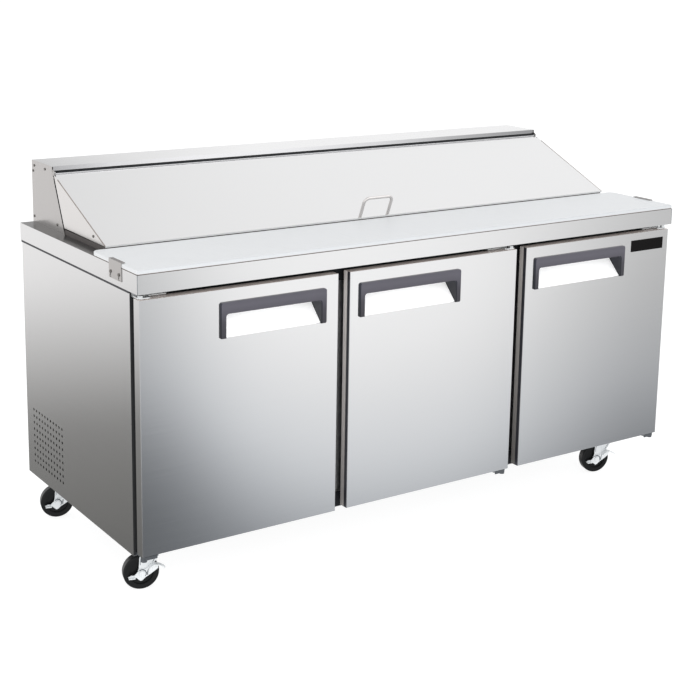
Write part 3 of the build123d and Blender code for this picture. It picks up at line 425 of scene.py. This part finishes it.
def tube(bm, path, r, sides=10, closed=False):
    """Round bar along a list of points, millimetres."""
    pts = [Vector(p) for p in path]
    rings = []
    n = len(pts)
    for i, p in enumerate(pts):
        a = pts[i - 1] if i > 0 or closed else p
        b = pts[(i + 1) % n] if i < n - 1 or closed else p
        d = (b - a).normalized()
        ref = Vector((0, 0, 1)) if abs(d.z) < 0.9 else Vector((1, 0, 0))
        s = d.cross(ref).normalized()
        t2 = d.cross(s).normalized()
        rings.append([bm.verts.new((p + (s * math.cos(k * 2 * math.pi / sides) + t2 * math.sin(k * 2 * math.pi / sides)) * r) * MM) for k in range(sides)])
    m = n if closed else n - 1
    for i in range(m):
        q, w2 = rings[i], rings[(i + 1) % n]
        for k in range(sides):
            bm.faces.new((q[k], q[(k + 1) % sides], w2[(k + 1) % sides], w2[k]))
    if not closed:
        bm.faces.new(list(reversed(rings[0])))
        bm.faces.new(rings[-1])


def lathe(bm, profile, origin, direction, sides=48, closed=False):
    """Profile of (radius, along) points turned about an axis. Millimetres."""
    d = Vector(direction).normalized()
    ref = Vector((0, 0, 1)) if abs(d.z) < 0.9 else Vector((1, 0, 0))
    s = d.cross(ref).normalized()
    t2 = d.cross(s).normalized()
    o = Vector(origin)
    rings = []
    for rr, w2 in profile:
        if rr < 1e-6:
            rings.append([bm.verts.new((o + d * w2) * MM)])
        else:
            rings.append([bm.verts.new((o + d * w2 + (s * math.cos(k * 2 * math.pi / sides) + t2 * math.sin(k * 2 * math.pi / sides)) * rr) * MM) for k in range(sides)])
    m = len(rings)
    for i in range(m if closed else m - 1):
        a, b = rings[i], rings[(i + 1) % m]
        for k in range(sides):
            k2 = (k + 1) % sides
            if len(a) == 1 and len(b) == 1:
                continue
            if len(a) == 1:
                bm.faces.new((a[0], b[k2], b[k]))
            elif len(b) == 1:
                bm.faces.new((a[k], a[k2], b[0]))
            else:
                bm.faces.new((a[k], a[k2], b[k2], b[k]))


# ------------------------------------------------------------------ detail pieces
DOOR_F, RECESS_BACK, HZ0 = -376.0, -328.0, 693.5
HANDLES = {"left": (-687.0, -367.0), "centre": (-261.0, 84.0), "right": (359.0, 723.0)}
LEG = 17.0
for k, (h0, h1) in HANDLES.items():
    # pressed tray behind the grip: rolled lower lip, sloping floor, rounded corner, rear wall; it is white and glows,
    # painted light filling the recess
    inner = [(DOOR_F + 0.3, 695.5)]
    for i in range(9):
        ang = math.radians(-45 + 45 * i / 8)
        inner.append((-348.6 + 20.0 * math.cos(ang), 750.9 + 20.0 * math.sin(ang)))
    inner.append((-328.6, 773.5))
    outer = [(y + 0.22, z - 0.22) if i < 3 else (y + 0.35, z) for i, (y, z) in enumerate(inner)]
    prof = inner + list(reversed(outer))
    bm = bmesh.new()
    sweep_flat(bm, prof, "x", h0 + LEG + 0.1, h1 - LEG - 0.1)
    finish_piece("recess_tray_" + k, bm, TRAY, "door_" + k, smooth=False)

# dark brown bead in the groove under the board's edge: a painted shadow line where the board sits on the worktop
bm = bmesh.new()
HW, HD, TOP = 916.0, 381.0, 886.0
sweep_flat(bm, [(-HD + 0.15, TOP + 0.1), (-HD + 1.5, TOP + 0.1), (-HD + 0.15, TOP + 1.45)], "x", -HW + 5.5, HW - 5.5)
for s in (-1, 1):
    sweep_flat(bm, [(s * (HW - 0.15), TOP + 0.1), (s * (HW - 1.5), TOP + 0.1), (s * (HW - 0.15), TOP + 1.45)], "y", -HD + 5.5, -HD + 248.0)
    cx, cy = s * (HW - 5.0), -HD + 5.0
    path = [(cx + s * 4.35 * math.sin(math.radians(a)), cy - 4.35 * math.cos(math.radians(a)), TOP + 0.65) for a in range(0, 91, 15)]
    tube(bm, path, 0.5, 6)
finish_piece("board_seat_shadow_bead", bm, SEAT_SHADOW, "board")

# folded seam along the lid's side edges, coloured as a painted reflection of the fold: brown and thicker on the left,
# tan and thin on the right
EY, EZ, TY, TZ = -108.0, 903.5, 0.9211, 0.3893
for s, tag in ((-1, "left"), (1, "right")):
    bm = bmesh.new()
    L = 330.0
    path = [(s * 875.6, EY + TY * L * i / 6 - 0.25, EZ + TZ * L * i / 6 + 0.35) for i in range(7)]
    tube(bm, path, 1.45 if s < 0 else 0.6, 8)
    finish_piece("lid_edge_seam_" + tag, bm, HEM if s < 0 else TAN, "lid", smooth=True)

# soft lip under the lid's front edge
bm = bmesh.new()
lip = [(EY + 1.2, 898.7), (EY + 3.4, 898.7), (EY + 3.9, 900.5), (EY + 3.4, 903.0), (EY + 1.6, 903.0), (EY + 0.9, 900.8)]
sweep_flat(bm, lip, "x", -868.0, 868.0)
finish_piece("lid_front_gasket", bm, TAN, "lid", bevel=0.2)

# black sleeve over the lid's hinge tube, its lower half painted pale grey as painted light
bm = bmesh.new()
prof = []
x = -869.0
lathe_pts = [(4.45, x)]
while x < 869.0:
    lathe_pts += [(4.9, x + 1.0), (4.9, min(x + 138.0, 868.0)), (4.7, min(x + 139.5, 868.6))]
    x += 139.5
lathe_pts += [(4.45, 869.0)]
lathe(bm, lathe_pts, (0, 230.0, 1046.0), (1, 0, 0), sides=24, closed=True)
finish_piece("lid_hinge_sleeve", bm, SLEEVE, "lid", smooth=True)

# seal strips behind the slanted front edges of the hood's end plates
for s, tag in ((-1, "left"), (1, "right")):
    bm = bmesh.new()
    def edge_y(z):
        return 155.0 + (z - 886.0) * (234.0 - 155.0) / (1052.0 - 886.0)
    z0, z1 = 901.5, 1028.0
    pts = [(edge_y(z0) - 9.5, z0), (edge_y(z0) + 3.0, z0), (edge_y(z1) + 3.0, z1), (edge_y(z1) - 9.0, z1)]
    a, b = sorted((s * 874.4, s * 872.4))
    sweep_flat(bm, pts, "x", a, b)
    # bulb of the seal
    tube(bm, [(s * 873.6, edge_y(z0) - 3.0, z0), (s * 873.6, edge_y(z1) - 3.0, z1)], 1.7, 10)
    finish_piece("hood_edge_seal_" + tag, bm, GASKET, "cabinet", bevel=0.3)

# dark strips in the joint between the worktop's fascia and the cabinet, at the sides and rear, painted dark as the
# shadow under the fascia's lower edge
bm = bmesh.new()
AZ0 = 837.0
for s in (-1, 1):
    a, b = sorted((s * 912.75, s * 914.6))
    sweep_flat(bm, [(a, AZ0 - 6.6), (b, AZ0 - 6.6), (b, AZ0 + 6.0), (a, AZ0 + 6.0)], "y", -328.0, 379.5)
sweep_flat(bm, [(378.1, AZ0 - 6.0), (379.6, AZ0 - 6.0), (379.6, AZ0 + 6.0), (378.1, AZ0 + 6.0)], "x", -912.7, 912.7)
finish_piece("worktop_joint_strip", bm, STRIP, "cabinet", bevel=0.3)

# dark strips at the worktop's front corners: painted shade in the crease of each folded corner
bm = bmesh.new()
for s in (-1, 1):
    tube(bm, [(s * 915.75, -380.75, AZ0 + 0.4), (s * 915.75, -380.75, TOP - 0.2)], 0.95, 8)
finish_piece("worktop_corner_seams", bm, CORNER, "cabinet", smooth=True)

# caster details: an arc round the axle and a formed rib on each brake arm, and pressed lines on the fork's cheeks
CASTERS = {"fl": (-815.0, -243.0), "fr": (815.0, -243.0), "rl": (-815.0, 323.0), "rr": (815.0, 323.0)}
HEAD = math.radians(-15.0)
DARKZ = steel("zinc_shadow", tone=0.11, tint=(0.8, 0.95, 1.1), rough=0.35, grain="z", mottled=0.08, fine=300.0, metallic=0.6, bump=0.03)


def caster_point(tag, x, y, z):
    cx, cy = CASTERS[tag]
    return (cx + x * math.cos(HEAD) - y * math.sin(HEAD), cy + x * math.sin(HEAD) + y * math.cos(HEAD), z)


for tag in CASTERS:
    out_dir = Vector((math.sin(HEAD), -math.cos(HEAD), 0.0))
    # arc pressed round the axle on the brake arm
    bm = bmesh.new()
    arc = [caster_point(tag, -35 + 11.3 * math.cos(math.radians(a)), -22.25, 48 + 11.3 * math.sin(math.radians(a))) for a in range(-40, 131, 10)]
    tube(bm, arc, 1.25, 8)
    rib = [caster_point(tag, x, -22.25, z) for x, z in ((-20.5, 43.5), (-20.0, 50.0), (-19.2, 56.0), (-16.5, 61.5), (-11.5, 65.5), (-5.5, 67.6))]
    tube(bm, rib, 1.25, 8)
    finish_piece("brake_ribs_" + tag, bm, DARKZ, "brake_" + tag, smooth=True)
    # swage ring on the fork's outer cheek
    bm = bmesh.new()
    for yy in (-19.55, 19.55):
        line = [caster_point(tag, x, yy, z) for x, z in ((-34.0, 116.0), (-35.0, 100.0), (-38.5, 84.0), (-39.2, 72.0))]
        tube(bm, line, 0.7, 8)
        line = [caster_point(tag, x, yy, z) for x, z in ((20.5, 118.0), (11.5, 104.0), (2.0, 90.0), (-6.0, 77.5))]
        tube(bm, line, 0.7, 8)
    finish_piece("fork_ribs_" + tag, bm, DARKZ, "swivel_" + tag, smooth=True)

# ------------------------------------------------------------------ floor, light
def plane(name, size, z, mat):
    me = bpy.data.meshes.new(name)
    h = size / 2
    me.from_pydata([(-h, -h, z), (h, -h, z), (h, h, z), (-h, h, z)], [], [(0, 1, 2, 3)])
    ob = bpy.data.objects.new(name, me)
    scene.collection.objects.link(ob)
    ob.data.materials.append(mat)
    return ob


mf = bpy.data.materials.new("floor_white")
mf.use_nodes = True
tf = Nodes(mf.node_tree)
bf = mf.node_tree.nodes["Principled BSDF"]
tcf = tf.add("ShaderNodeTexCoord").outputs["Object"]
tf.link(tf.mix(tf.noise(tcf, 1.5), (0.34, 0.34, 0.34), (0.36, 0.36, 0.36)), bf.inputs["Base Color"])
bf.inputs["Roughness"].default_value = 0.9
bf.inputs["Specular IOR Level"].default_value = 0.0
bf.inputs["Emission Color"].default_value = (1, 1, 1, 1)
bf.inputs["Emission Strength"].default_value = 0.85
floor = plane("floor", 60.0, -0.0005, mf)
floor.visible_glossy = False

world = bpy.data.worlds.new("studio")
scene.world = world
world.use_nodes = True
w = Nodes(world.node_tree)
for nd in list(world.node_tree.nodes):
    world.node_tree.nodes.remove(nd)
out = w.add("ShaderNodeOutputWorld")
tc = w.add("ShaderNodeTexCoord").outputs["Generated"]
sep = w.add("ShaderNodeSeparateXYZ")
w.link(tc, sep.inputs[0])
X, Y, Z = sep.outputs
elev = w.math("MULTIPLY", w.math("ARCSINE", Z), 180 / math.pi)
azim = w.math("MULTIPLY", w.math("ARCTAN2", X, w.math("MULTIPLY", Y, -1.0)), 180 / math.pi)


def norm(v, lo, hi):
    return w.math("DIVIDE", w.math("SUBTRACT", v, lo), hi - lo, clamp=True)


def table(coord, lo, hi, stops):
    """Piecewise linear curve over a wide range of values, at most 32 stops."""
    return w.ramp(norm(coord, lo, hi), [((a - lo) / (hi - lo), v) for a, v in stops])


GAIN = 1.0 / 0.66
# studio seen in the metal: one broad pale panel ahead and to the right, darker flanks, a dark floor fading up to pale walls
AZ = [(-180, 0.8), (-20, 0.7), (0, 0.8), (22, 0.4), (29, 0.95), (40, 0.9), (47, 0.5), (90, 0.7), (180, 0.8)]
hz = table(azim, -180, 180, AZ)
near = w.math("SUBTRACT", azim, 34.0)
steep = w.math("ADD", 0.033, w.math("MULTIPLY", w.math("LESS_THAN", azim, 34.0), 0.045))
shift = w.math("MINIMUM", w.math("MULTIPLY", w.math("MULTIPLY", near, near), steep), 4.5)
e_eff = w.math("SUBTRACT", elev, shift)
EL = [(-40, 0.4), (-28, 0.15), (-25, 0.25), (-21, 0.7), (-15, 0.95), (0, 1.0)]
ev = table(e_eff, -40, 0, EL)
cool = w.mix(norm(e_eff, -26, -17), (0.925, 0.985, 1.06), (1.0, 1.0, 1.0))
front = w.mix(1.0, w.math("MULTIPLY", hz, ev), cool, "MULTIPLY")
ES = [(-40, 0.4), (-26, 0.1), (-19, 0.2), (-13, 0.75), (0, 0.8)]
warm = w.mix(norm(elev, -21, -15), (1.01, 1.0, 0.965), (1.0, 0.99, 0.985))
side = w.mix(1.0, table(elev, -40, 0, ES), warm, "MULTIPLY")
# the rest of the studio: a paler, flatter surround
EF = [(-90, 0.5), (-35, 0.35), (-12, 0.7), (0, 0.8)]
flat = w.mix(1.0, table(elev, -90, 0, EF), (0.985, 0.995, 1.005), "MULTIPLY")
in_front = w.math("SUBTRACT", 1.0, norm(w.math("ABSOLUTE", w.math("SUBTRACT", azim, 34.0)), 19, 28))
in_side = w.math("SUBTRACT", 1.0, norm(w.math("ABSOLUTE", w.math("ADD", azim, 157.0)), 16, 26))
low = w.mix(in_side, w.mix(in_front, flat, front), side)
# above the horizon: a ceiling with a soft bright patch behind the table to the right
EU = [(0, 0.8), (45, 0.8), (65, 0.6), (90, 0.6)]
upv = table(elev, 0, 90, EU)
dim = table(azim, 100, 180, [(100, 1.0), (135, 1.0), (160, 0.8), (180, 0.85)])
lowroof = table(azim, 100, 180, [(100, 0.8), (150, 0.9), (160, 0.65), (180, 0.75)])
upr = w.math("MULTIPLY", upv, w.mix(norm(elev, 14, 30), lowroof, dim))
behind = norm(azim, 90, 100)
boost = w.math("MULTIPLY", norm(w.math("ADD", w.math("MULTIPLY", Y, -1.0), w.math("MULTIPLY", X, 0.4)), 0.1, 0.5), 0.5)
upl = w.math("ADD", upv, w.math("MULTIPLY", boost, norm(elev, 15, 45)))
upv2 = w.mix(behind, upl, upr)
upper = w.mix(norm(elev, -2, 4), low, upv2)
glossy = w.mix(1.0, upper, (GAIN, GAIN, GAIN * 1.005), "MULTIPLY")
bg_gloss = w.add("ShaderNodeBackground")
w.link(glossy, bg_gloss.inputs[0])
bg_gloss.inputs[1].default_value = 1.0
bg_diff = w.add("ShaderNodeBackground")
bg_diff.inputs[0].default_value = (0.98, 0.99, 1.0, 1)
bg_diff.inputs[1].default_value = 0.9
bg_cam = w.add("ShaderNodeBackground")
bg_cam.inputs[0].default_value = (1, 1, 1, 1)
bg_cam.inputs[1].default_value = 1.1
lp = w.add("ShaderNodeLightPath")
mx1 = w.add("ShaderNodeMixShader")
w.link(lp.outputs["Is Glossy Ray"], mx1.inputs[0])
w.link(bg_diff.outputs[0], mx1.inputs[1])
w.link(bg_gloss.outputs[0], mx1.inputs[2])
mx2 = w.add("ShaderNodeMixShader")
w.link(lp.outputs["Is Camera Ray"], mx2.inputs[0])
w.link(mx1.outputs[0], mx2.inputs[1])
w.link(bg_cam.outputs[0], mx2.inputs[2])
w.link(mx2.outputs[0], out.inputs[0])


def softbox(name, loc, target, size, power):
    ld = bpy.data.lights.new(name, "AREA")
    ld.shape = "RECTANGLE"
    ld.size, ld.size_y = size
    ld.energy = power
    ob = bpy.data.objects.new(name, ld)
    scene.collection.objects.link(ob)
    ob.location = loc
    d = Vector(target) - Vector(loc)
    ob.rotation_euler = d.to_track_quat("-Z", "Y").to_euler()
    ob.visible_glossy = False
    return ob


softbox("key", (-1.6, -4.6, 2.2), (0, 0, 0.6), (3.0, 2.4), 75.0)

bpy.context.view_layer.update()
